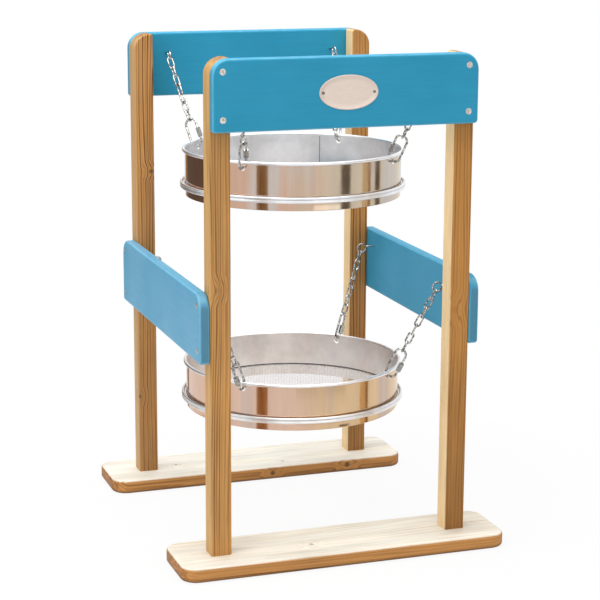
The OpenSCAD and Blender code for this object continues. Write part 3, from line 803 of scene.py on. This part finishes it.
def stainless(name, outside, tinted, greyed, inside, rolled, outer_rough, inner_rough):
    """Bright sheet steel. Its tint goes round the wall from outside to tinted, with greyed patches, all
    painted reflections of the stand and the ground. The inside is cloudier, and rolled is the tint of the rim
    and the beads."""
    tint_angle, trim_start, trim_full = math.radians(-45), wall_out + 0.0002, wall_out + 0.001
    material, tree, shader = surface(name, Metallic=1.0)
    coordinates = put(tree, "ShaderNodeTexCoord").outputs
    place = coordinates["Object"]

    def drawn_up(share):
        return vector(tree, "MULTIPLY", place, (1, 1, share))

    level = drawn_up(0)
    round_way = vector(tree, "NORMALIZE", level)
    outer = spread(tree, vector(tree, "DOT_PRODUCT", coordinates["Normal"], round_way), -0.15, 0.15)
    trim = spread(tree, vector(tree, "LENGTH", level), trim_start, trim_full)
    broad = noise(tree, drawn_up(0.15), 14, 2)
    streak = noise(tree, drawn_up(0.06), 40, 3, 0.6)
    smear = noise(tree, place, 34, 5, 0.65)
    patch = noise(tree, vector(tree, "ADD", drawn_up(0.1), (3, 5, 7)), 17, 1)
    turned_to = vector(tree, "DOT_PRODUCT", round_way, around(1, tint_angle, 0))
    # Painted reflection: the outer wall's tan tints and greyed patches stand for the stand and the ground
    # that it mirrors.
    colour = mixed(tree, spread(tree, calc(tree, "ADD", turned_to, broad), 0.75, 1.35), outside, tinted)
    colour = mixed(tree, spread(tree, patch, 0.5, 0.6, 0, 0.85), colour, greyed)
    # Painted shade: the inner wall is darker on its +X side.
    painted_inner_shade = spread(tree, vector(tree, "DOT_PRODUCT", round_way, X), 0.0, 0.95, 1, 0.84)
    inner = mixed(tree, 1.0, inside, grey(tree, painted_inner_shade), "MULTIPLY")
    colour = mixed(tree, trim, mixed(tree, outer, inner, colour), rolled)
    # The upright streaks that vary the outer wall's tone are painted reflections of the posts.
    outer_tone = spread(tree, streak, 0.3, 0.7, 0.9, 1.05, "LINEAR")
    inner_tone = spread(tree, smear, 0.3, 0.7, 0.88, 1.08, "LINEAR")
    tone = output(tree, "ShaderNodeMix", {0: outer, 2: inner_tone, 3: outer_tone})
    tree.links.new(mixed(tree, 1.0, colour, grey(tree, tone), "MULTIPLY"), shader.inputs["Base Color"])
    smeared = spread(tree, smear, 0.3, 0.7, -0.03, 0.05, "LINEAR")
    rough = calc(tree, "ADD", spread(tree, outer, 0, 1, inner_rough, outer_rough), smeared)
    tree.links.new(calc(tree, "MULTIPLY_ADD", trim, 0.25, rough), shader.inputs["Roughness"])
    bumped(tree, shader, streak, 0.03, 0.0002)
    return material


def patchy(name, scale, detail, start, low, high, **sockets):
    """A surface whose colour changes in small patches between two tints."""
    material, tree, shader = surface(name, **sockets)
    patch = noise(tree, put(tree, "ShaderNodeTexCoord").outputs["Object"], scale, detail)
    tree.links.new(mixed(tree, spread(tree, patch, start, 0.7), low, high), shader.inputs["Base Color"])
    return material


steels = {
    "upper": stainless("upper_steel", (0.6, 0.39, 0.285), (0.58, 0.48, 0.36), (0.55, 0.5, 0.46),
                       (0.9, 0.9, 0.91), (0.9, 0.9, 0.92), 0.11, 0.33),
    "lower": stainless("lower_steel", (0.7, 0.48, 0.365), (0.68, 0.48, 0.285), (0.58, 0.45, 0.38),
                       (0.875, 0.815, 0.78), (0.88, 0.87, 0.87), 0.11, 0.33),
}
wire_steel = patchy("wire_steel", 300, 2, 0.3, (0.5, 0.465, 0.455), (0.72, 0.675, 0.665),
                    Metallic=1.0, Roughness=0.45)
# Near black in patches, for the dark joint of the lap and for painted shade in the crevice at the foot of the
# wall.
dark_joint_and_painted_shade = patchy("dark_joint_and_painted_shade", 220, 3, 0.35, (0.012, 0.011, 0.01), (0.06, 0.05, 0.044),
                     Metallic=0.6, Roughness=0.7)


def arc(r, z, radius, start, stop, count):
    angles = [math.radians(start + (stop - start) * i / count) for i in range(count + 1)]
    return [(r + radius * math.cos(a), z + radius * math.sin(a)) for a in angles]


def band_mesh(name, low, top, steel):
    """The band as a closed section turned about Z, with rows that leave square windows for the holes."""
    hole_z = top - hole_drop
    window = [hole_z + shift for shift in (-0.0094, -0.0062, -0.0031, 0, 0.0031, 0.0058)]
    flange = low + sheet
    roll_z, bead_z = top - rim_r, low + bead_r
    lift = math.degrees(math.asin((flange - bead_z) / bead_r))
    half_groove = groove * groove_share
    bend = [(wall_in + groove, low), (wall_in + half_groove, low + half_groove), (wall_in, low + groove)]
    section = bend + [(wall_in, z) for z in window] + arc(wall_in + rim_r, roll_z, rim_r, 180, -130, 18)
    inner_rows = range(len(bend), len(bend) + len(window) - 1)
    outer_rows = range(len(section), len(section) + len(window) - 1)
    section += [(wall_out, z) for z in reversed(window)]
    section += [(wall_out, flange + flange_bend), (wall_out + flange_bend, flange)]
    section += arc(bead_at, bead_z, bead_r, 180 - lift, -90, 14)
    form = bmesh.new()
    grid = [[form.verts.new(around(r, a, z)) for a in even_angles(columns)] for r, z in section]
    centres = [columns // 8 + columns // 4 * quarter for quarter in range(4)]
    shifts = range(-hole_columns, hole_columns)
    opened = {(centre + shift) % columns for centre in centres for shift in shifts}
    for i in range(len(section)):
        n = (i + 1) % len(section)
        for j in range(columns):
            if j in opened and (i in inner_rows or i in outer_rows):
                continue
            k = (j + 1) % columns
            form.faces.new((grid[i][j], grid[i][k], grid[n][k], grid[n][j]))
    for centre in centres:
        middle = math.tau * centre / columns
        rounds = []
        for radius, rows in ((wall_in, inner_rows), (wall_out, outer_rows)):
            lines = list(rows) + [rows[-1] + 1]
            span = range(centre - hole_columns, centre + hole_columns + 1)
            border = [(lines[0], j) for j in span] + [(i, span[-1]) for i in lines[1:-1]]
            border += [(lines[-1], j) for j in reversed(span)] + [(i, span[0]) for i in reversed(lines[1:-1])]
            corners = [grid[i][j % columns] for i, j in border]
            edge = []
            for vert, (i, j) in zip(corners, border):
                aim = math.atan2(vert.co.z - hole_z, (math.tau * j / columns - middle) * wall_out)
                angle, z = middle + hole_r * math.cos(aim) / wall_out, hole_z + hole_r * math.sin(aim)
                edge.append(form.verts.new(around(radius, angle, z)))
            for one in range(len(corners)):
                two = (one + 1) % len(corners)
                form.faces.new((corners[one], corners[two], edge[two], edge[one]))
            rounds.append(edge)
        # The outer wall's rows run down and the inner wall's up, so one round is taken the other way
        inner, outer = rounds
        outer = [min(outer, key=lambda v, p=point: (v.co - p.co).length) for point in inner]
        for one in range(len(inner)):
            two = (one + 1) % len(inner)
            form.faces.new((inner[one], inner[two], outer[two], outer[one]))
    mesh = mesh_of(name, form, steel, sheet_crease)
    # The groove's faces at the foot of the wall take the near black, a painted shade of the crevice.
    mesh.materials.append(dark_joint_and_painted_shade)
    for face in mesh.polygons:
        if face.center.z < low + groove and math.hypot(face.center.x, face.center.y) < wall_in + groove:
            face.material_index = 1
    return mesh


def lap_mesh(name, low, high, turn):
    """The edge of the band's lap: a thin upright strip on the inside of the wall."""
    form = bmesh.new()
    half = lap_wide / 2 / wall_in
    near, far = wall_in - lap_t, wall_in + lap_t
    corners = [(far, turn - half), (near, turn - half), (near, turn + half), (far, turn + half)]
    capped(form, [[around(r, a, z) for r, a in corners] for z in (low, high)])
    return mesh_of(name, form, dark_joint_and_painted_shade)


def skirt_mesh(name, high, bottom, steel):
    """The skirt: a flange under the mesh, a bead round it and a plain wall with a hemmed lower edge."""
    inner, net_edge = wall_in - sheet, bead_at + bead_r * net_edge_share
    lift = math.degrees(math.asin((bead_r - sheet) / bead_r))
    section = [(inner, high), (inner, bottom + hem)] + arc(inner + hem, bottom + hem, hem, 180, 360, 8)
    section += [(wall_in, bottom + hem * 3), (wall_in, high - sheet - flange_bend)]
    section += [(wall_in + flange_bend, high - sheet)]
    # The clamped edge of the mesh lies between the two beads, a little inside their widest line
    section += arc(bead_at, high - bead_r, bead_r, 180 - lift, 405, 12)
    section += [(net_edge, high), (net_edge, high + net_t), (net_r, high + net_t), (net_r, high)]
    form = bmesh.new()
    loft(form, [[around(r, a, z) for a in even_angles(columns)] for r, z in section])
    return mesh_of(name, form, steel, sheet_crease)


# One tree weaves two sets of wires, which pass over and under each other by turns
weave, weave_in, weave_out = tree_of("weave", {
    "Pitch": "Float", "Wire": "Float", "Radius": "Float", "Height": "Float", "Turn": "Float",
    "Finish": "Material"})


def xyz(tree, parts):
    return output(tree, "ShaderNodeCombineXYZ", parts)


half_count = calc(weave, "FLOOR", calc(weave, "DIVIDE", weave_in["Radius"], weave_in["Pitch"]))
line_count = calc(weave, "MULTIPLY_ADD", half_count, 2.0, 1.0)
reach = calc(weave, "MULTIPLY", half_count, weave_in["Pitch"])
minus_reach = calc(weave, "MULTIPLY", reach, -1.0)
straight = output(weave, "GeometryNodeCurvePrimitiveLine", {
    "Start": xyz(weave, {0: minus_reach}), "End": xyz(weave, {0: reach})})
jointed = output(weave, "GeometryNodeResampleCurve", {"Curve": straight, "Count": line_count})
row_spots = output(weave, "GeometryNodeMeshLine", {
    "Count": line_count, "Start Location": xyz(weave, {1: minus_reach}),
    "Offset": xyz(weave, {1: weave_in["Pitch"]})})
thread_r = calc(weave, "MULTIPLY", weave_in["Wire"], 0.5)
thread = output(weave, "GeometryNodeCurvePrimitiveCircle", {"Resolution": net_sides, "Radius": thread_r})
cloth = put(weave, "GeometryNodeJoinGeometry")
for sheet_turn, way_up in ((0, 1.0), (quarter_turn, -1.0)):
    rows = output(weave, "GeometryNodeInstanceOnPoints", {"Points": row_spots, "Instance": jointed})
    wires = output(weave, "GeometryNodeRealizeInstances", {0: rows})
    spot = put(weave, "ShaderNodeSeparateXYZ", {0: output(weave, "GeometryNodeInputPosition")}).outputs
    cell = [calc(weave, "ROUND", calc(weave, "DIVIDE", spot[axis], weave_in["Pitch"])) for axis in (0, 1)]
    odd = calc(weave, "FLOORED_MODULO", calc(weave, "ADD", cell[0], cell[1]), 2.0)
    height = calc(weave, "MULTIPLY", weave_in["Wire"], way_up)
    lift = calc(weave, "MULTIPLY", calc(weave, "MULTIPLY_ADD", odd, 1.0, -0.5), height)
    waved = output(weave, "GeometryNodeSetPosition", {"Geometry": wires, "Offset": xyz(weave, {2: lift})})
    away = vector(weave, "LENGTH", xyz(weave, {0: spot[0], 1: spot[1]}))
    outside = calc(weave, "GREATER_THAN", away, weave_in["Radius"])
    cut = output(weave, "GeometryNodeDeleteGeometry", {
        "Geometry": waved, "Selection": outside}, domain="POINT")
    tube = output(weave, "GeometryNodeCurveToMesh", {
        "Curve": cut, "Profile Curve": thread, "Fill Caps": True})
    turned = output(weave, "GeometryNodeTransform", {"Geometry": tube, "Rotation": (0, 0, sheet_turn)})
    weave.links.new(turned, cloth.inputs[0])
laid = output(weave, "GeometryNodeTransform", {
    "Geometry": cloth.outputs[0], "Translation": xyz(weave, {2: weave_in["Height"]}),
    "Rotation": xyz(weave, {2: weave_in["Turn"]})})
close_tree(weave, laid, weave_in["Finish"], weave_out)

LAPS = {"upper": 56, "lower": 200}
for tier in TIERS:
    body = "sieve_" + tier
    net_low, net_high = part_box("sieve_mesh_" + tier)
    rim_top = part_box("sieve_band_" + tier)[1].z
    skirt_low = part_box("sieve_skirt_" + tier)[0].z
    band = band_mesh("band_" + tier, net_high.z, rim_top, steels[tier])
    made("sieve_band_" + tier + "_rolled", band, body, "stainless", "sieve_band_" + tier)
    skirt = skirt_mesh("skirt_" + tier, net_low.z, skirt_low, steels[tier])
    made("sieve_skirt_" + tier + "_hemmed", skirt, body, "stainless", "sieve_skirt_" + tier)
    lap = lap_mesh("lap_" + tier, net_high.z + groove, rim_top - 2 * rim_r, math.radians(LAPS[tier]))
    made("sieve_band_" + tier + "_lap", lap, body, "stainless")
    values = {"Pitch": net_pitch, "Wire": net_wire, "Radius": net_r, "Height": (net_low.z + net_high.z) / 2,
              "Turn": azimuth, "Finish": wire_steel}
    net = grown("net_" + tier, bpy.data.meshes.new("net_start"), weave, values)
    made("sieve_mesh_" + tier + "_woven", net, body, "stainless", "sieve_mesh_" + tier)
